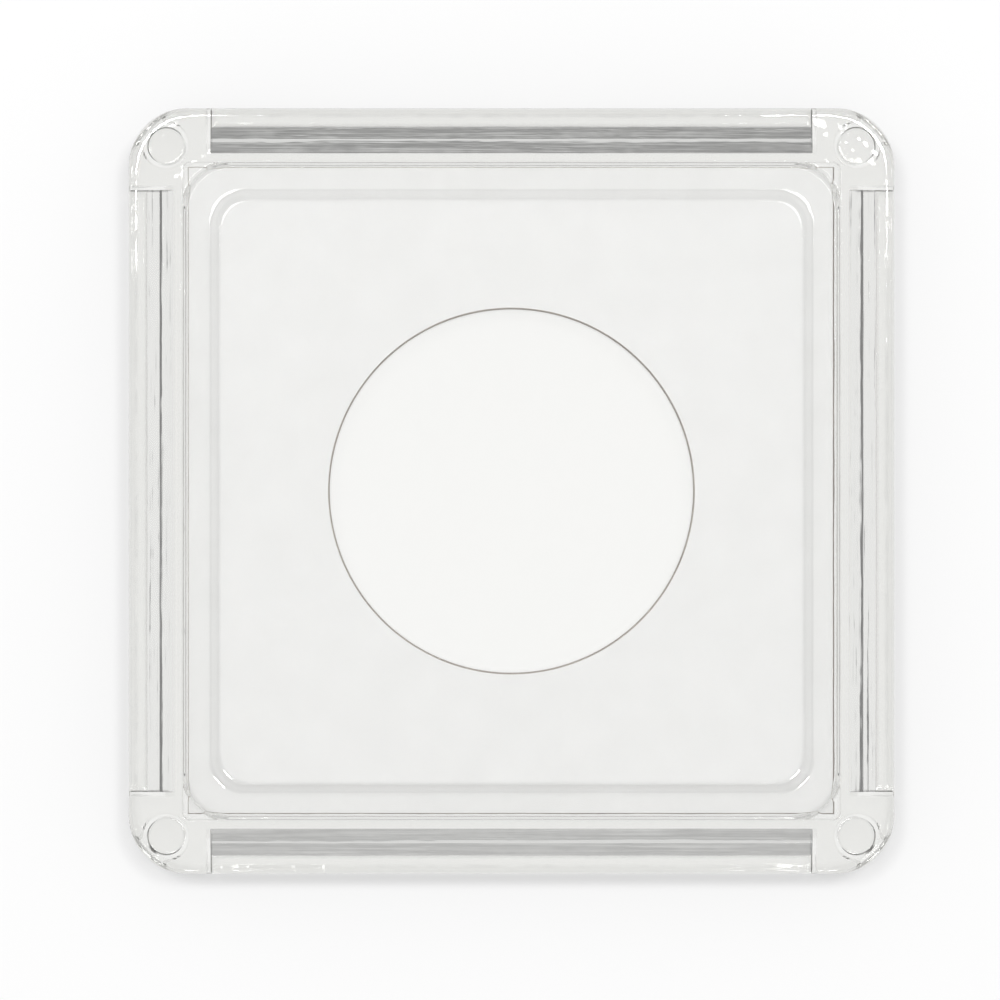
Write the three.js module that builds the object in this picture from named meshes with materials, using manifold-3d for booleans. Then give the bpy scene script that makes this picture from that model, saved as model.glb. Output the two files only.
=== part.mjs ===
// Snap-lock coin holder: two clear square shells that close over a white insert with a round hole.
// Millimetres, +Z up. It lies on its back: Z = 0 is the back rim, and the origin is its centre.
import * as THREE from 'three';
import { mergeVertices } from 'three/addons/utils/BufferGeometryUtils.js';
import Module from 'manifold-3d';

// Insert: a square card, with a hole for a coin 24.26 mm across and 1.75 mm thick
const insertSize = 43.2;
const insertThickness = 2.0;
const coinHoleDiameter = 24.3;

// Room round the insert
const insertPlay = 0.25; // each side
const paneGap = 0.1; // below it and above it

// Clear windows, the same in both shells
const paneThickness = 1.1;
const windowRecess = 0.4; // how far a window lies below its rim
const windowSlope = 0.5; // run of the sloping step round a window
const windowCorner = 2.3;
const rimWidth = 5.45; // from the outer edge to the top of that step

// Outer form
const cornerRadius = 3.9;
const edgeRounding = 0.6;

// Inner wall of the back shell, which holds the insert
const wallThickness = 1.25;
const cavityCorner = 0.5;

// Shallow step round the inside of the front window
const innerStepDepth = 0.25;
const innerStepCorner = 3.0;

// Rails of the front shell, one on each side, which fill the gaps between the corner blocks
const railWidth = 2.0;
const railGap = 0.3; // beside the wall, the blocks and the back plate
const railRampLength = 0.45; // lead-in at the two ends
const railRampRise = 0.28;
const cornerBlockLength = 5.1; // along each side

// Chamfers that lead the rails over the wall as the shells close
const chamferSlope = 0.84; // rise over run
const leadInWidth = 1.15; // along the lower inner edge of a rail
const wallChamferWidth = 0.65; // along the upper outer edge of the wall
const bridgeSlope = 0.92; // rise over run of a rail's root where it spans the gap to the wall

// Pins of the front shell and their sockets in the corner blocks
const pinDiameter = 2.5;
const pinChamfer = 0.2;
const pinClearance = 0.25; // all round
const pinTipGap = 0.3;

const seatGap = 0.1; // between the closed shells

// Fineness of the round forms
const arcSteps = 10; // in a quarter turn of an outline
const edgeSteps = 4; // across the rounded outer edge
const holeSteps = 96;
const pinSteps = 40;

// Sizes that follow
const cavitySize = insertSize + 2 * insertPlay;
const wallOuterSize = cavitySize + 2 * wallThickness;
const holderSize = wallOuterSize + 2 * (railGap + railWidth);
const windowSize = holderSize - 2 * rimWidth;
const railLength = holderSize - 2 * (cornerBlockLength + railGap);

// Heights that follow
const backPlateTop = windowRecess + paneThickness;
const insertBottom = backPlateTop + paneGap;
const frontSeat = insertBottom + insertThickness + paneGap;
const wallTop = frontSeat - seatGap;
const frontPaneBottom = frontSeat + innerStepDepth;
const holderDepth = frontPaneBottom + paneThickness + windowRecess;
const railBottom = backPlateTop + railGap;
const rootBottom = frontSeat - wallChamferWidth * chamferSlope; // of a rail's root, at the wall's face
const wallFaceTop = rootBottom - seatGap * Math.hypot(1, chamferSlope);

// A pin stands midway between the cavity's corner and the holder's rounded corner
const cavityCornerAt = cavitySize / 2 - cavityCorner * (1 - Math.SQRT1_2);
const outerCornerAt = holderSize / 2 - cornerRadius * (1 - Math.SQRT1_2);
const pinCentre = (cavityCornerAt + outerCornerAt) / 2;
const cornerSigns = [[1, 1], [-1, 1], [-1, -1], [1, -1]];

const cutterReach = 1; // how far a cutter runs past the face that it cuts
const weldDistance = 1e-5; // corners closer than this are one

const wasm = await Module();
wasm.setup();

// A closed mesh as a solid that can be cut and joined
function solidOf(geometry) {
  geometry.deleteAttribute('normal');
  geometry.deleteAttribute('uv');
  const merged = mergeVertices(geometry, weldDistance);
  return new wasm.Manifold(new wasm.Mesh({
    numProp: 3,
    vertProperties: new Float32Array(merged.attributes.position.array),
    triVerts: new Uint32Array(merged.index.array),
  }));
}

function geometryOf(solid) {
  const { vertProperties, triVerts } = solid.getMesh();
  const geometry = new THREE.BufferGeometry();
  geometry.setAttribute('position', new THREE.BufferAttribute(vertProperties, 3));
  geometry.setIndex(new THREE.BufferAttribute(triVerts, 1));
  geometry.computeVertexNormals();
  return geometry;
}

// A square outline with round corners, centred on the origin
function roundedSquare(size, radius) {
  const half = size / 2;
  const inner = half - radius;
  const shape = new THREE.Shape();
  shape.moveTo(half, -inner);
  shape.lineTo(half, inner);
  shape.absarc(inner, inner, radius, 0, Math.PI / 2);
  shape.lineTo(-inner, half);
  shape.absarc(-inner, inner, radius, Math.PI / 2, Math.PI);
  shape.lineTo(-half, -inner);
  shape.absarc(-inner, -inner, radius, Math.PI, 1.5 * Math.PI);
  shape.lineTo(inner, -half);
  shape.absarc(inner, -inner, radius, 1.5 * Math.PI, 2 * Math.PI);
  return shape;
}

// An outline drawn up from one height to another
function prism(shape, bottom, top, steps = arcSteps) {
  const settings = { depth: top - bottom, curveSegments: steps, bevelEnabled: false };
  return new THREE.ExtrudeGeometry(shape, settings).translate(0, 0, bottom);
}

// A bar along X, centred on the origin, from the [y, z] points of its cross-section
function drawnAlongX(points, length) {
  const shape = new THREE.Shape(points.map(([y, z]) => new THREE.Vector2(y, z)));
  return new THREE.ExtrudeGeometry(shape, { depth: length, bevelEnabled: false })
    .translate(0, 0, -length / 2)
    .rotateX(Math.PI / 2)
    .rotateZ(Math.PI / 2);
}

// A block between two corners
function block(low, high) {
  const size = high.map((value, i) => value - low[i]);
  const middle = high.map((value, i) => (value + low[i]) / 2);
  return new THREE.BoxGeometry(...size).translate(...middle);
}

// The closed holder as one slab with rounded outer edges, from which both shells are cut
function slab() {
  const geometry = new THREE.ExtrudeGeometry(roundedSquare(holderSize, cornerRadius), {
    depth: holderDepth - 2 * edgeRounding,
    curveSegments: arcSteps,
    bevelThickness: edgeRounding,
    bevelSize: edgeRounding,
    bevelOffset: -edgeRounding,
    bevelSegments: edgeSteps,
  });
  return solidOf(geometry.translate(0, 0, edgeRounding));
}

// What a window takes out of a shell: a pocket whose sides slope in to its floor at the origin's height.
// It opens towards +Z.
function windowPocket() {
  return new THREE.ExtrudeGeometry(roundedSquare(windowSize, windowCorner), {
    depth: cutterReach,
    curveSegments: arcSteps,
    bevelThickness: windowRecess,
    bevelSize: windowSlope,
    bevelOffset: -windowSlope,
    bevelSegments: 1,
  }).translate(0, 0, windowRecess);
}

// A round pin along Z with a chamfered tip at the bottom
function pin(radius, bottom, top, chamfer) {
  const tip = bottom + chamfer;
  const profile = [[0, bottom], [radius - chamfer, bottom], [radius, tip], [radius, top], [0, top]];
  return new THREE.LatheGeometry(profile.map(([r, z]) => new THREE.Vector2(r, z)), pinSteps)
    .rotateX(Math.PI / 2);
}

// A rail along X on the +Y side of the holder, with the sloping root that carries it over the wall.
// Its top lies inside the plate, as a pin's does.
function rail() {
  const outer = holderSize / 2;
  const wallFace = wallOuterSize / 2;
  const inner = wallFace + railGap;
  const end = railLength / 2;
  const bar = drawnAlongX([
    [outer, railBottom],
    [outer, frontPaneBottom],
    [wallFace - wallChamferWidth, frontPaneBottom],
    [wallFace - wallChamferWidth, frontSeat],
    [wallFace, rootBottom],
    [inner, rootBottom - railGap * bridgeSlope],
    [inner, railBottom + leadInWidth * chamferSlope],
    [inner + leadInWidth, railBottom],
  ], railLength);
  const sideView = drawnAlongX([
    [-end + railRampLength, railBottom],
    [end - railRampLength, railBottom],
    [end, railBottom + railRampRise],
    [end, frontPaneBottom],
    [-end, frontPaneBottom],
    [-end, railBottom + railRampRise],
  ], 2 * holderSize).rotateZ(Math.PI / 2);
  return geometryOf(solidOf(bar).intersect(solidOf(sideView)));
}

// The room for a rail and its root in the back shell, on the +Y side
function railNotch() {
  const wallFace = wallOuterSize / 2;
  const outer = holderSize / 2 + cutterReach;
  return drawnAlongX([
    [wallFace, backPlateTop],
    [outer, backPlateTop],
    [outer, holderDepth],
    [wallFace - (holderDepth - wallFaceTop) / chamferSlope, holderDepth],
    [wallFace, wallFaceTop],
  ], railLength + 2 * railGap);
}

// Back shell: plate, inner wall and four corner blocks in one moulding
function backShell() {
  const half = holderSize / 2;
  let solid = slab().subtract(solidOf(block([-half - cutterReach, -half - cutterReach, wallTop],
    [half + cutterReach, half + cutterReach, holderDepth + cutterReach])));
  solid = solid.subtract(solidOf(prism(roundedSquare(cavitySize, cavityCorner), backPlateTop, holderDepth)));
  for (let side = 0; side < 4; side += 1) {
    solid = solid.subtract(solidOf(railNotch().rotateZ(side * Math.PI / 2)));
  }
  for (const [x, y] of cornerSigns) {
    const socket = pin(pinDiameter / 2 + pinClearance, backPlateTop, holderDepth, 0);
    solid = solid.subtract(solidOf(socket.translate(x * pinCentre, y * pinCentre, 0)));
  }
  return solid.subtract(solidOf(windowPocket().rotateX(Math.PI).translate(0, 0, windowRecess)));
}

// Front shell: plate, four rails and four corner pins in one moulding
function frontShell() {
  const half = holderSize / 2;
  let solid = slab().subtract(solidOf(block([-half - cutterReach, -half - cutterReach, -cutterReach],
    [half + cutterReach, half + cutterReach, frontSeat])));
  for (let side = 0; side < 4; side += 1) {
    solid = solid.add(solidOf(rail().rotateZ(side * Math.PI / 2)));
  }
  for (const [x, y] of cornerSigns) {
    const post = pin(pinDiameter / 2, backPlateTop + pinTipGap, frontPaneBottom, pinChamfer);
    solid = solid.add(solidOf(post.translate(x * pinCentre, y * pinCentre, 0)));
  }
  const innerOutline = roundedSquare(cavitySize, innerStepCorner);
  solid = solid.subtract(solidOf(prism(innerOutline, frontSeat - cutterReach, frontPaneBottom)));
  return solid.subtract(solidOf(windowPocket().translate(0, 0, holderDepth - windowRecess)));
}

// Coin insert: a sharp-cornered square with its round hole
function coinInsert() {
  const half = insertSize / 2;
  const shape = new THREE.Shape([
    new THREE.Vector2(-half, -half),
    new THREE.Vector2(half, -half),
    new THREE.Vector2(half, half),
    new THREE.Vector2(-half, half),
  ]);
  shape.holes.push(new THREE.Path().absarc(0, 0, coinHoleDiameter / 2, 0, 2 * Math.PI, true));
  return solidOf(prism(shape, insertBottom, insertBottom + insertThickness, holeSteps));
}

function clearPlastic() {
  return new THREE.MeshStandardMaterial({
    color: 0xe8edeb,
    roughness: 0.08,
    metalness: 0,
    transparent: true,
    opacity: 0.3,
  });
}

function whiteCard() {
  return new THREE.MeshStandardMaterial({ color: 0xf2f2f0, roughness: 0.75, metalness: 0 });
}

function part(name, solid, material) {
  const mesh = new THREE.Mesh(geometryOf(solid), material);
  mesh.name = name;
  return mesh;
}

const coinHolder = new THREE.Group();
coinHolder.add(part('back_shell', backShell(), clearPlastic()));
coinHolder.add(part('coin_insert', coinInsert(), whiteCard()));
coinHolder.add(part('front_shell', frontShell(), clearPlastic()));

export default coinHolder;
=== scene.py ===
import math

import bmesh
import bpy
import numpy as np
from mathutils import Matrix, Vector


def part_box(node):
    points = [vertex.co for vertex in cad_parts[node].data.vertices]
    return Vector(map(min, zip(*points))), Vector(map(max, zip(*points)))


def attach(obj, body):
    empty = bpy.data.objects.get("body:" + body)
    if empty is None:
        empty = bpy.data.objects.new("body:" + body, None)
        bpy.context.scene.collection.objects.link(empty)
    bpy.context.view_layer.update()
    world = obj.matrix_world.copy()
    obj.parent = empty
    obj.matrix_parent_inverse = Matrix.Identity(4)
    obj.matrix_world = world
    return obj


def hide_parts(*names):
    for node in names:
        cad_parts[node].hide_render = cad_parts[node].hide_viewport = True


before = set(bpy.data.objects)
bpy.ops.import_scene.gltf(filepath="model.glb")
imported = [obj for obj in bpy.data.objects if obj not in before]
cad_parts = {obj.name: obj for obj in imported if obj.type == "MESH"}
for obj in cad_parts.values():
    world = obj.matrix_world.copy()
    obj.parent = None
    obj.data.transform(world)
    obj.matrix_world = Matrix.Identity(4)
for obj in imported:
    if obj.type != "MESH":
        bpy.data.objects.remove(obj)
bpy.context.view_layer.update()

# Sizes are in millimetres until a finished mesh is brought to metres
MM = 0.001


def corners(node):
    """A node's lowest and highest corners in millimetres."""
    low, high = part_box(node)
    return low / MM, high / MM


_, back_high = corners("back_shell")
front_low, front_high = corners("front_shell")
card_low, card_high = corners("coin_insert")

# From the parts in model.glb
half = front_high.x
depth = front_high.z
wall_top = back_high.z
rail_bottom = front_low.z
card_half = card_high.x
card_bottom, card_top = card_low.z, card_high.z

# Fits round the insert and between the shells
insert_play = 0.25
pane_gap = 0.1
seat_gap = 0.1
plate_top = card_bottom - pane_gap
front_seat = card_top + pane_gap
cavity_half = card_half + insert_play

# Outer form and windows
corner_radius = 3.9
edge_rounding = 0.6
window_recess = 0.4
window_slope = 0.5
window_corner = 2.3
rim_width = 5.45
window_half = half - rim_width

# Wall, rails and corner blocks
wall_thickness = 1.25
wall_half = cavity_half + wall_thickness
wall_chamfer = 0.65  # width of the chamfer along the wall
cavity_corner = 0.5
inner_step_depth = 0.25
inner_step_corner = 3.0
rail_gap = 0.3
rail_inner = wall_half + rail_gap
corner_block = 5.1
notch_half = half - corner_block
rail_half = notch_half - rail_gap
ramp_length = 0.45  # of the slopes at a rail's two ends
ramp_rise = 0.28
lead_in = 1.15  # width of the chamfer along a rail
chamfer_slope = 0.84  # rise over run of the wide chamfers
bridge_slope = 0.92  # and of the narrow one above the gap
reach = 1.0  # of a cut or a join past the face that it meets

# Pins and sockets
pin_radius = 1.25
pin_chamfer = 0.2
pin_tip_rise = 0.1
pin_clearance = 0.25
socket_mouth = 0.12  # width and height of the slope at a socket's mouth
corner_loss = 1 - math.sqrt(0.5)  # of a radius, on X and on Y, where a round corner turns
pin_place = (cavity_half - cavity_corner * corner_loss + half - corner_radius * corner_loss) / 2

# Insert
hole_radius = 12.15
worn = 0.05  # edges of the board
right_slant, left_slant = 0.18, 0.08  # of the cut sides from back to front
lower_slant, upper_slant = 0.14, 0.05

# Softness of moulded edges and fineness of round forms
soft = 0.12
crisp = 0.04  # rails and pins
window_soft = 0.24  # where a window's slope meets its pane
rim_soft = 0.18  # and where it meets the rim
sharp_angle = math.radians(32)
flat_weight = 100  # of large faces in the shading of the turns beside them
merge_distance = 1e-5
soft_steps = 3
bar_steps = 2
edge_steps = 8
corner_steps = 20
hole_steps = 192
sides = 4

# Clear plastic. An upright share is the Z part of a face's direction, 0 on a side and 1 on a pane
plastic_tint = (0.995, 0.995, 0.99, 1)
plastic_ior = 1.59
# The last of these is a painted glow: the plastic gives out a little light of its own, in place of light it
# would scatter back
inner_tint, inner_density, inner_painted_glow = (0.80, 0.80, 0.785, 1), 250.0, 10.0
side_share, pane_share = 0.3, 0.95  # where faces let the least and the most light through
side_passes, pane_passes = 0.5, 0.985
streaked_share, smooth_share = 0.8, 0.98  # where faces have full and hardly any streaks
smooth_streaks = 0.04
streaked_ripples, smooth_ripples = 1.5, 4.0
scratch_start, scratch_full, scratch_depth = 0.70, 0.78, 0.02

# Board. A tone is reached at a share of its noise
coated_tones = (0.3, (0.81, 0.81, 0.807, 1)), (0.7, (0.84, 0.84, 0.838, 1))
coated_roughness = 0.5, 0.65
fibre_start, fibre_full = 0.3, 0.7
layer_tones = (0.35, (0.28, 0.23, 0.20, 1)), (0.65, (0.52, 0.47, 0.42, 1))
cut_roughness = 0.85

# Noises: fineness along X, Y and Z in cycles per metre, detail, roughness
streaks_along_x = (50.0, 1800.0, 1800.0), 3.0, 0.5
streaks_along_y = (1800.0, 50.0, 1800.0), 3.0, 0.5
ripple_noise = (420.0, 420.0, 420.0), 2.0, 0.5
scratch_noise = (90.0, 2600.0, 400.0), 1.0, 0.5
mottle_noise = (350.0, 350.0, 350.0), 4.0, 0.6
fibre_noise = (5000.0, 7000.0, 6000.0), 3.0, 0.65
layer_noise = (250.0, 250.0, 6000.0), 3.0, 0.7

# Bumps: strength, and height in metres
plastic_bump = 0.5, 0.00002
coated_bump = 0.25, 0.00002
cut_bump = 0.5, 0.00004

# Floor: metres from the middle, and how much of it is plain white there
floor_half = 1.5
floor_tint = (0.95, 0.95, 0.95, 1)
near, far = 0.05, 0.3
near_white, far_white = 0.35, 1.0
white_inside = 0.9  # where gloss or clear plastic sees it

# World: spans of a direction's X, Y or Z over which the light turns, and its strengths
to_sides = 0.35, 0.8
bottom_to_top = -0.5, 0.5
horizon = 0.13, 0.18
low_sky = 0.12, 0.3
middle_sky = 0.3, 0.5
overhead = 0.97, 0.995
under_front, under_sides = 0.8, 0.16
beyond_bottom, beyond_top = 0.4, 0.08
low_light, side_light, middle_light, overhead_light = 0.72, 0.96, 0.32, 1.2

# Lamps, in metres and watts
lamp_height, lamp_offset, lamp_size, lamp_power = 0.68, 0.12, 0.1, 1.6

# Camera
lens, sensor = 180.0, 36.0
frame_pixels = 1000
pixels_per_mm = 15.1
right_of_middle, above_middle = 11.5, 9.0  # pixels from the frame's middle to the holder's
clip_near, clip_far = 0.01, 10


def station(half_x, half_y, corner, height, softness=0.0, centre=(0.0, 0.0), steps=soft_steps):
    """One level of a form: a round-cornered rectangle, and how softly the form turns there."""
    return np.array([half_x, half_y, corner, height, *centre]), softness, steps


def square(size, corner, height, softness=0.0, steps=soft_steps):
    return station(size, size, corner, height, softness, steps=steps)


def softened(stations):
    """The levels of a form with each soft turn drawn as a short curve."""
    levels = [stations[0][0]]
    for before, here, after in zip(stations, stations[1:], stations[2:]):
        turn, softness, steps = here
        if not softness:
            levels.append(turn)
            continue
        ends = []
        for other in (before[0], after[0]):
            way = other - turn
            length = math.hypot(max(abs(way[0]), abs(way[1])), way[3])
            ends.append(turn + way * min(softness / length, 0.5))
        for step in range(steps + 1):
            t = step / steps
            levels.append((1 - t) ** 2 * ends[0] + 2 * t * (1 - t) * turn + t ** 2 * ends[1])
    levels.append(stations[-1][0])
    return levels


def ring(level, steps):
    """The points of one level, anticlockwise."""
    half_x, half_y, corner, height, centre_x, centre_y = level
    points = []
    for quarter, (sign_x, sign_y) in enumerate([(1, 1), (-1, 1), (-1, -1), (1, -1)]):
        for step in range(steps + 1):
            angle = (quarter + step / steps) * math.pi / 2
            x = centre_x + sign_x * (half_x - corner) + corner * math.cos(angle)
            y = centre_y + sign_y * (half_y - corner) + corner * math.sin(angle)
            points.append((x, y, height))
    return points


def put(name, mesh):
    """A new object in the scene from a mesh that is done."""
    data = bpy.data.meshes.new(name)
    mesh.to_mesh(data)
    mesh.free()
    piece = bpy.data.objects.new(name, data)
    bpy.context.scene.collection.objects.link(piece)
    return piece


def form(name, stations, steps=corner_steps):
    """A closed form skinned over its levels, with a flat face on the first and the last."""
    mesh = bmesh.new()
    rings = [[mesh.verts.new(point) for point in ring(level, steps)] for level in softened(stations)]
    count = len(rings[0])
    for lower, upper in zip(rings, rings[1:]):
        for i in range(count):
            j = (i + 1) % count
            mesh.faces.new((lower[i], lower[j], upper[j], upper[i]))
    mesh.faces.new(rings[0])
    mesh.faces.new(rings[-1])
    bmesh.ops.remove_doubles(mesh, verts=mesh.verts, dist=merge_distance)
    bmesh.ops.recalc_face_normals(mesh, faces=mesh.faces)
    return put(name, mesh)


class Nodes:
    """A node tree, with short calls for making and joining its nodes."""

    def __init__(self, tree):
        self.tree = tree
        tree.nodes.clear()

    def node(self, kind, values=None, **settings):
        """A new node with its settings and the values of its inputs."""
        made = self.tree.nodes.new(kind)
        for name, value in settings.items():
            setattr(made, name, value)
        for name, value in (values or {}).items():
            made.inputs[name].default_value = value
        return made

    def join(self, output, socket):
        self.tree.links.new(output, socket)

    def give(self, value, socket):
        """Joins an output to a socket, or writes a number on it."""
        if isinstance(value, float):
            socket.default_value = value
        else:
            self.join(value, socket)

    def math(self, operation, first, second=0.0):
        made = self.node("ShaderNodeMath", operation=operation)
        self.give(first, made.inputs[0])
        self.give(second, made.inputs[1])
        return made.outputs[0]

    def span(self, value, start, end, low=0.0, high=1.0, course="LINEAR"):
        """A value's range mapped to another, with its ends held."""
        numbers = {"From Min": start, "From Max": end, "To Min": low, "To Max": high}
        made = self.node("ShaderNodeMapRange", numbers, interpolation_type=course)
        self.join(value, made.inputs["Value"])
        return made.outputs["Result"]

    def blend(self, share, low, high):
        """The low value at no share, the high one at full share."""
        made = self.node("ShaderNodeMix")
        self.join(share, made.inputs["Factor"])
        self.give(low, made.inputs["A"])
        self.give(high, made.inputs["B"])
        return made.outputs["Result"]

    def parts(self, vector):
        """The X, Y and Z of a vector."""
        split = self.node("ShaderNodeSeparateXYZ")
        self.join(vector, split.inputs[0])
        return split.outputs

    def noise(self, place, fineness, detail, roughness):
        """Noise over a place, with its own fineness along X, Y and Z."""
        stretched = self.node("ShaderNodeMapping", {"Scale": fineness})
        made = self.node("ShaderNodeTexNoise", {"Scale": 1.0, "Detail": detail, "Roughness": roughness})
        self.join(place, stretched.inputs["Vector"])
        self.join(stretched.outputs[0], made.inputs["Vector"])
        return made.outputs[0]

    def tones(self, share, low, high):
        """A ramp between two tones, each with the share at which it is reached."""
        made = self.node("ShaderNodeValToRGB")
        for element, (position, tone) in zip(made.color_ramp.elements, (low, high)):
            element.position, element.color = position, tone
        self.join(share, made.inputs[0])
        return made.outputs["Color"]

    def bump(self, height, strength, distance):
        made = self.node("ShaderNodeBump", {"Strength": strength, "Distance": distance})
        self.join(height, made.inputs["Height"])
        return made.outputs["Normal"]

    def either(self, share, first, second):
        """One shader, or the other where the share is full."""
        made = self.node("ShaderNodeMixShader")
        for output, socket in zip((share, first, second), made.inputs):
            self.join(output, socket)
        return made.outputs[0]


def turned_copies(graph, feature, count):
    """A feature's mesh, once on each side of the square."""
    shape = graph.node("GeometryNodeObjectInfo")
    points = graph.node("GeometryNodePoints")
    copies = graph.node("GeometryNodeInstanceOnPoints")
    index = graph.node("GeometryNodeInputIndex").outputs["Index"]
    turn = graph.node("ShaderNodeCombineXYZ")
    real = graph.node("GeometryNodeRealizeInstances")
    graph.join(feature, shape.inputs["Object"])
    graph.join(count, points.inputs["Count"])
    graph.join(points.outputs["Points"], copies.inputs["Points"])
    graph.join(shape.outputs["Geometry"], copies.inputs["Instance"])
    graph.join(graph.math("MULTIPLY", index, graph.math("DIVIDE", math.tau, count)), turn.inputs["Z"])
    graph.join(turn.outputs["Vector"], copies.inputs["Rotation"])
    graph.join(copies.outputs["Instances"], real.inputs["Geometry"])
    return real.outputs["Geometry"]


def four_round_tree(name, operation):
    """Joins a feature to a shell, or cuts it out, once on each side of the square."""
    tree = bpy.data.node_groups.new(name, "GeometryNodeTree")
    asked = [tree.interface.new_socket(title, in_out="INPUT", socket_type=f"NodeSocket{kind}").identifier
             for title, kind in (("Shell", "Geometry"), ("Feature", "Object"),
                                 ("Sides", "Int"), ("Finish", "Material"))]
    tree.interface.new_socket("Shell", in_out="OUTPUT", socket_type="NodeSocketGeometry")
    tree["inputs"] = asked[1:]
    graph = Nodes(tree)
    given = graph.node("NodeGroupInput").outputs
    copies = turned_copies(graph, given["Feature"], given["Sides"])
    meet = graph.node("GeometryNodeMeshBoolean", operation=operation, solver="EXACT")
    finish = graph.node("GeometryNodeSetMaterial")
    result = graph.node("NodeGroupOutput")
    graph.join(given["Shell"], meet.inputs["Mesh 1" if operation == "DIFFERENCE" else "Mesh 2"])
    graph.join(copies, meet.inputs["Mesh 2"])
    graph.join(meet.outputs["Mesh"], finish.inputs["Geometry"])
    graph.join(given["Finish"], finish.inputs["Material"])
    graph.join(finish.outputs["Geometry"], result.inputs["Shell"])
    return tree


def four_round(shell, feature, tree, finish):
    """The shell with the feature on its four sides, as a plain mesh."""
    modifier = shell.modifiers.new(tree.name, "NODES")
    modifier.node_group = tree
    for identifier, value in zip(tree["inputs"], (feature, sides, finish)):
        modifier[identifier] = value
    bake(shell)
    bpy.data.objects.remove(feature)


def bake(piece):
    """Turns a piece's modifiers into its mesh."""
    seen = bpy.context.evaluated_depsgraph_get()
    seen.update()
    data = bpy.data.meshes.new_from_object(piece.evaluated_get(seen))
    data.name = piece.name
    piece.modifiers.clear()
    piece.data = data


def finished(piece):
    """Shades a piece's soft turns smoothly and its flat faces flat, and brings it to metres.

    The modifier takes areas that differ by less than 0.01 for equal, so it works in millimetres.
    """
    piece.data.shade_smooth()
    piece.data.set_sharp_from_angle(angle=sharp_angle)
    weighted = piece.modifiers.new("flat faces", "WEIGHTED_NORMAL")
    weighted.keep_sharp = True
    weighted.weight = flat_weight
    bake(piece)
    piece.data.transform(Matrix.Scale(MM, 4))
    return piece


def round_station(radius, height, softness=0.0):
    """One level of a round form in the +X +Y corner."""
    return station(radius, radius, radius, height, softness, (pin_place, pin_place))


def corner_pin():
    return form("pin", [
        round_station(pin_radius - pin_chamfer, rail_bottom),
        round_station(pin_radius, rail_bottom + pin_tip_rise, crisp),
        round_station(pin_radius, front_seat + inner_step_depth),
    ])


def bar(inner, long_half, height, softness=0.0, outer=half):
    """One level of a rail on the +Y side, between an inner and an outer distance from the middle."""
    across = (outer - inner) / 2
    return station(long_half, across, crisp, height, softness, (0.0, outer - across))


def rail():
    """A rail with its root: wide chamfers lead it over the wall."""
    root_top = front_seat + inner_step_depth / 2
    root_bottom = front_seat - wall_chamfer * chamfer_slope
    root = wall_half - (root_top - root_bottom) / chamfer_slope
    bridge_bottom = root_bottom - rail_gap * bridge_slope
    return form("rail", [
        bar(rail_inner + lead_in, rail_half - ramp_length, rail_bottom),
        bar(rail_inner + lead_in - ramp_rise / chamfer_slope, rail_half, rail_bottom + ramp_rise, crisp),
        bar(rail_inner, rail_half, rail_bottom + lead_in * chamfer_slope, crisp),
        bar(rail_inner, rail_half, bridge_bottom),
        bar(wall_half, rail_half, root_bottom),
        bar(root, rail_half, root_top),
    ], bar_steps)


def rail_notch():
    """The room that a rail and its root take in the back shell, on the +Y side."""
    outer = half + reach
    root_bottom = front_seat - wall_chamfer * chamfer_slope
    face_top = root_bottom - seat_gap * math.hypot(1, chamfer_slope)
    above = wall_top + reach
    return form("notch", [
        bar(wall_half, notch_half, plate_top, 0, outer),
        bar(wall_half, notch_half, face_top, soft, outer),
        bar(wall_half - (above - face_top) / chamfer_slope, notch_half, above, 0, outer),
    ], bar_steps)


def pin_socket():
    radius = pin_radius + pin_clearance
    return form("socket", [
        round_station(radius, plate_top),
        round_station(radius, wall_top - socket_mouth),
        round_station(radius + 2 * socket_mouth, wall_top + socket_mouth),
    ])


def window(level, towards):
    """The levels from a window's flat pane out to its rim, recessed towards the inside."""
    pane = level + towards * window_recess
    return [
        square(window_half - window_slope - reach, window_corner - window_slope, pane),
        square(window_half - window_slope, window_corner - window_slope, pane, window_soft),
        square(window_half, window_corner, level, rim_soft),
    ]


def back_shell(plastic):
    """Plate with its window, inner wall and four corner blocks with sockets."""
    bottom = 0.0
    shell = form("back_shell_moulding", window(bottom, 1) + [
        square(half, corner_radius, bottom, edge_rounding, edge_steps),
        square(half, corner_radius, wall_top, soft),
        square(cavity_half, cavity_corner, wall_top, soft),
        square(cavity_half, cavity_corner, plate_top, soft),
        square(cavity_half - reach, cavity_corner, plate_top),
    ])
    cut = four_round_tree("cut on four sides", "DIFFERENCE")
    four_round(shell, rail_notch(), cut, plastic)
    four_round(shell, pin_socket(), cut, plastic)
    return finished(shell)


def front_shell(plastic):
    """Plate with its window, four rails and four corner pins."""
    shell = form("front_shell_moulding", window(depth, -1) + [
        square(half, corner_radius, depth, edge_rounding, edge_steps),
        square(half, corner_radius, front_seat),
        square(cavity_half, inner_step_corner, front_seat, soft),
        square(cavity_half - inner_step_depth, inner_step_corner, front_seat + inner_step_depth, soft),
        square(cavity_half - reach, inner_step_corner, front_seat + inner_step_depth),
    ])
    add = four_round_tree("add on four sides", "UNION")
    four_round(shell, rail(), add, plastic)
    four_round(shell, corner_pin(), add, plastic)
    return finished(shell)


def insert_loops(level, inset, lean):
    """The points of the hole's edge and of the outer edge at one height."""
    hole = hole_radius + inset
    right, left, upper, lower = (card_half - inset - lean * slant
                                 for slant in (right_slant, left_slant, upper_slant, lower_slant))
    hole_loop, outer_loop = [], []
    for step in range(hole_steps):
        angle = step * math.tau / hole_steps
        x, y = math.cos(angle), math.sin(angle)
        longer = max(abs(x), abs(y))
        hole_loop.append((hole * x, hole * y, level))
        outer_loop.append(((right if x > 0 else left) * x / longer,
                           (upper if y > 0 else lower) * y / longer, level))
    return hole_loop, outer_loop


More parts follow.
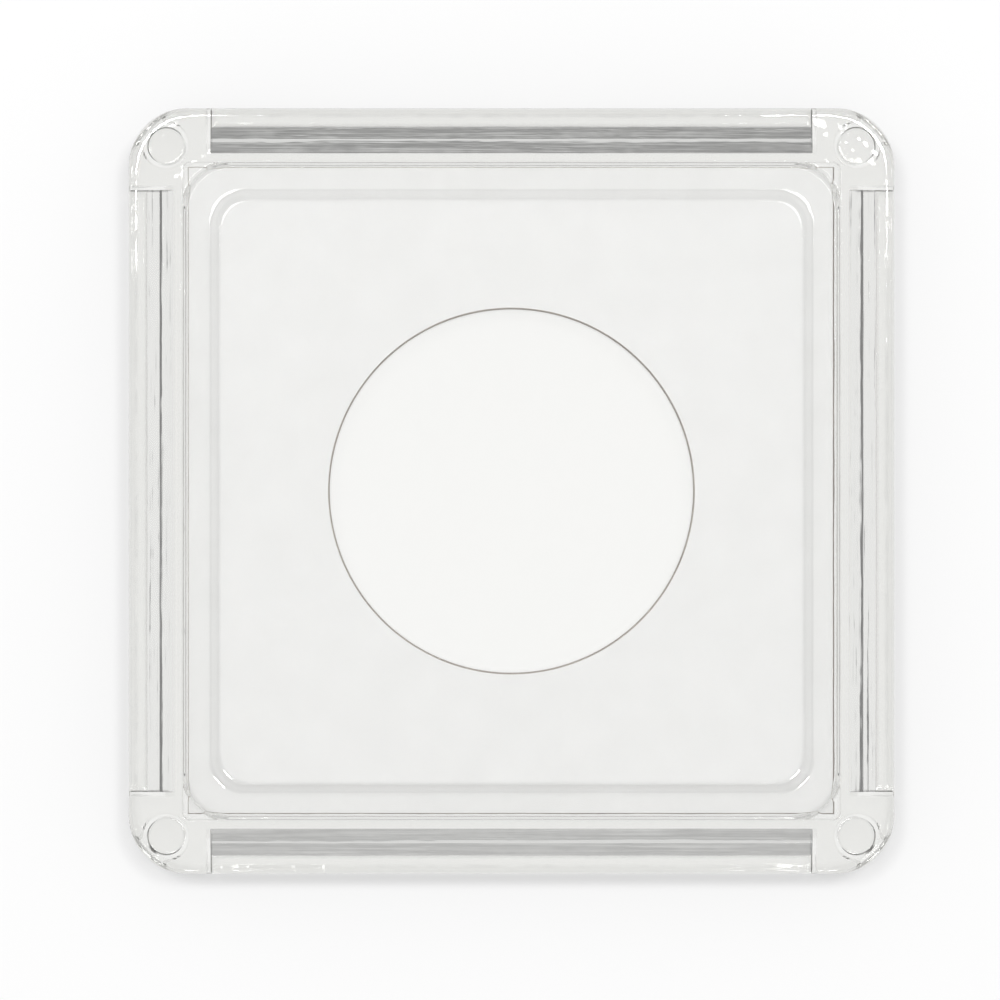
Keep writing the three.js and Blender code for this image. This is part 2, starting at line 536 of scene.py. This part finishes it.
def coin_insert(board, cut_edge):
    """A sharp-cornered square with a round hole. The blades that cut it left its sides slanted a little."""
    levels = ((card_bottom, worn, 0), (card_bottom + worn, 0, 0),
              (card_top - worn, 0, 1), (card_top, worn, 1))
    mesh = bmesh.new()
    inner, outer = [], []
    for level in levels:
        for side, loop in zip((inner, outer), insert_loops(*level)):
            side.append([mesh.verts.new(point) for point in loop])
    bottom, top = 0, len(levels) - 1
    for i in range(hole_steps):
        j = (i + 1) % hole_steps
        for k in range(top):
            for side in (inner, outer):
                face = mesh.faces.new((side[k][i], side[k][j], side[k + 1][j], side[k + 1][i]))
                face.material_index = 1
        for k in (bottom, top):
            mesh.faces.new((inner[k][i], inner[k][j], outer[k][j], outer[k][i]))
    bmesh.ops.recalc_face_normals(mesh, faces=mesh.faces)
    piece = put("insert_board", mesh)
    piece.data.materials.append(board)
    piece.data.materials.append(cut_edge)
    return finished(piece)


def new_finish(name):
    """A material, its node tree and the coordinates that its patterns read."""
    material = bpy.data.materials.new(name)
    material.use_nodes = True
    finish = Nodes(material.node_tree)
    return material, finish, finish.node("ShaderNodeTexCoord").outputs


def flow_marks(finish, place):
    """Streaks that run along the sides, as the plastic flowed when it was moulded."""
    x, y, _ = finish.parts(place)
    beside = finish.math("GREATER_THAN", finish.math("ABSOLUTE", x), finish.math("ABSOLUTE", y))
    along_x, along_y = (finish.noise(place, *streaks) for streaks in (streaks_along_x, streaks_along_y))
    return finish.blend(beside, along_x, along_y)


def rim_ripples(finish, place, level):
    """Shallow ripples beyond the windows, where the plastic is thick and sank unevenly as it cooled."""
    x, y, _ = finish.parts(place)
    from_middle = finish.math("MAXIMUM", finish.math("ABSOLUTE", x), finish.math("ABSOLUTE", y))
    share = finish.span(from_middle, window_half * MM, cavity_half * MM)
    depths = finish.span(level, streaked_share, smooth_share, streaked_ripples, smooth_ripples)
    ripples = finish.noise(place, *ripple_noise)
    return finish.math("MULTIPLY", ripples, finish.math("MULTIPLY", share, depths))


def plastic_bumps(finish, place, level):
    """Streaks on steep faces, ripples round the windows and a few fine scratches."""
    strength = finish.span(level, streaked_share, smooth_share, 1.0, smooth_streaks)
    streaks = finish.math("MULTIPLY", flow_marks(finish, place), strength)
    scratches = finish.span(finish.noise(place, *scratch_noise), scratch_start, scratch_full)
    uneven = finish.math("ADD", streaks, rim_ripples(finish, place, level))
    height = finish.math("SUBTRACT", uneven, finish.math("MULTIPLY", scratches, scratch_depth))
    return finish.bump(height, *plastic_bump)


def plastic_inside(finish):
    """The plastic takes a little light with depth, and a painted glow in it, though it is no lamp, gives
    back a faint haze in place of scattered light.
    """
    body = finish.node("ShaderNodeVolumeAbsorption", {"Color": inner_tint, "Density": inner_density})
    # Painted glow: an emission inside the plastic that stands in for scattered light
    painted_glow = finish.node("ShaderNodeEmission", {"Strength": inner_painted_glow})
    both = finish.node("ShaderNodeAddShader")
    finish.join(body.outputs[0], both.inputs[0])
    finish.join(painted_glow.outputs[0], both.inputs[1])
    return both.outputs[0]


def clear_plastic():
    """Clear moulded plastic: streaked on its steep faces, nearly smooth on its panes.

    Light reaches what is behind it, less so through steep faces, which send it aside.
    """
    material, finish, read = new_finish("clear_plastic")
    level = finish.math("ABSOLUTE", finish.parts(read["Normal"])["Z"])
    shader = finish.node("ShaderNodeBsdfPrincipled", {
        "Base Color": plastic_tint, "Transmission Weight": 1.0, "Roughness": 0.0, "IOR": plastic_ior})
    finish.join(plastic_bumps(finish, read["Object"], level), shader.inputs["Normal"])
    through = finish.node("ShaderNodeBsdfTransparent")
    passes = finish.span(level, side_share, pane_share, side_passes, pane_passes)
    finish.join(passes, through.inputs["Color"])
    light = finish.node("ShaderNodeLightPath").outputs
    lamps = finish.either(light["Is Shadow Ray"], shader.outputs[0], through.outputs[0])
    bounced = finish.either(light["Is Diffuse Ray"], lamps, through.outputs[0])
    out = finish.node("ShaderNodeOutputMaterial")
    finish.join(bounced, out.inputs["Surface"])
    finish.join(plastic_inside(finish), out.inputs["Volume"])
    return material


def white_board():
    """Coated white board: a faint mottle and a fine tooth."""
    material, finish, read = new_finish("white_board")
    shader = finish.node("ShaderNodeBsdfPrincipled")
    mottle = finish.noise(read["Object"], *mottle_noise)
    fibres = finish.noise(read["Object"], *fibre_noise)
    roughness = finish.span(fibres, fibre_start, fibre_full, *coated_roughness)
    finish.join(finish.tones(mottle, *coated_tones), shader.inputs["Base Color"])
    finish.join(roughness, shader.inputs["Roughness"])
    finish.join(finish.bump(fibres, *coated_bump), shader.inputs["Normal"])
    finish.join(shader.outputs[0], finish.node("ShaderNodeOutputMaterial").inputs["Surface"])
    return material


def board_edge():
    """Cut edge of the board: thin pressed layers of warm grey and brown."""
    material, finish, read = new_finish("board_cut_edge")
    shader = finish.node("ShaderNodeBsdfPrincipled", {"Roughness": cut_roughness})
    layers = finish.noise(read["Object"], *layer_noise)
    finish.join(finish.tones(layers, *layer_tones), shader.inputs["Base Color"])
    finish.join(finish.bump(layers, *cut_bump), shader.inputs["Normal"])
    finish.join(shader.outputs[0], finish.node("ShaderNodeOutputMaterial").inputs["Surface"])
    return material


def floor_paper():
    """White paper that keeps the shadow and turns plain white further out.

    Where gloss or clear plastic sees it, it is mostly plain white too.
    """
    material, finish, read = new_finish("floor_paper")
    shader = finish.node("ShaderNodeBsdfDiffuse", {"Color": floor_tint})
    glow = finish.node("ShaderNodeEmission", {"Strength": 1.0})
    light = finish.node("ShaderNodeLightPath").outputs
    away = finish.node("ShaderNodeVectorMath", operation="LENGTH")
    finish.join(read["Object"], away.inputs[0])
    plain = finish.span(away.outputs["Value"], near, far, near_white, far_white)
    seen = finish.math("MULTIPLY", light["Is Camera Ray"], plain)
    inside = finish.math("MAXIMUM", light["Is Glossy Ray"], light["Is Transmission Ray"])
    share = finish.math("ADD", seen, finish.math("MULTIPLY", inside, white_inside))
    surface = finish.either(share, shader.outputs[0], glow.outputs[0])
    finish.join(surface, finish.node("ShaderNodeOutputMaterial").inputs["Surface"])
    return material


def sky_strength(sky, direction):
    """How bright the studio is in a direction, from below the horizon up to overhead."""
    x, y, height = sky.parts(direction)
    aside = sky.math("ABSOLUTE", x)

    def turn(value, ends, low=0.0, high=1.0):
        return sky.span(value, *ends, low, high, "SMOOTHSTEP")

    under = turn(aside, to_sides, under_front, under_sides)
    beyond = turn(y, bottom_to_top, beyond_bottom, beyond_top)
    rising = sky.blend(turn(height, low_sky), beyond, low_light)
    level = sky.blend(turn(aside, to_sides), rising, side_light)
    around = sky.blend(turn(height, horizon), under, level)
    middle = sky.blend(turn(height, middle_sky), around, middle_light)
    return sky.blend(turn(height, overhead), middle, overhead_light)


def studio_world():
    """Brightest overhead, light on the two sides, darker beyond the bottom edge and most beyond the top.

    The camera itself sees it as plain white.
    """
    world = bpy.data.worlds.new("studio")
    bpy.context.scene.world = world
    world.use_nodes = True
    sky = Nodes(world.node_tree)
    strength = sky_strength(sky, sky.node("ShaderNodeTexCoord").outputs["Generated"])
    seen = sky.node("ShaderNodeLightPath").outputs["Is Camera Ray"]
    back = sky.node("ShaderNodeBackground", {"Color": (1, 1, 1, 1)})
    sky.join(sky.blend(seen, strength, 1.0), back.inputs["Strength"])
    sky.join(back.outputs[0], sky.node("ShaderNodeOutputWorld").inputs["Surface"])


def softbox(name, x):
    """A square lamp above the holder and turned to it, towards the frame's upper side."""
    place = Vector((x, lamp_offset, lamp_height))
    lamp = bpy.data.lights.new(name, "AREA")
    lamp.shape = "RECTANGLE"
    lamp.size = lamp.size_y = lamp_size
    lamp.energy = lamp_power
    lamp_object = bpy.data.objects.new(name, lamp)
    lamp_object.location = place
    lamp_object.rotation_euler = (-place).to_track_quat("-Z", "Y").to_euler()
    bpy.context.scene.collection.objects.link(lamp_object)


def stage():
    mesh = bmesh.new()
    bmesh.ops.create_grid(mesh, x_segments=1, y_segments=1, size=floor_half)
    floor = put("floor", mesh)
    floor.data.materials.append(floor_paper())
    studio_world()
    softbox("left_key", -lamp_offset)
    softbox("right_key", lamp_offset)


def camera():
    """Straight above the holder, at the distance from which it fills the frame as in the photograph."""
    distance = frame_pixels / pixels_per_mm * MM * lens / sensor
    data = bpy.data.cameras.new("camera")
    data.lens, data.sensor_width = lens, sensor
    data.clip_start, data.clip_end = clip_near, clip_far
    camera_object = bpy.data.objects.new("camera", data)
    camera_object.location = (-right_of_middle / pixels_per_mm * MM, -above_middle / pixels_per_mm * MM,
                              depth * MM + distance)
    bpy.context.scene.collection.objects.link(camera_object)
    bpy.context.scene.camera = camera_object


camera()
stage()
plastic = clear_plastic()
back = back_shell(plastic)
front = front_shell(plastic)
insert = coin_insert(white_board(), board_edge())

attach(back, "back")
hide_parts("back_shell")
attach(front, "cover")
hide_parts("front_shell")
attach(insert, "insert")
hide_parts("coin_insert")

bpy.context.scene.view_settings.view_transform = "Standard"
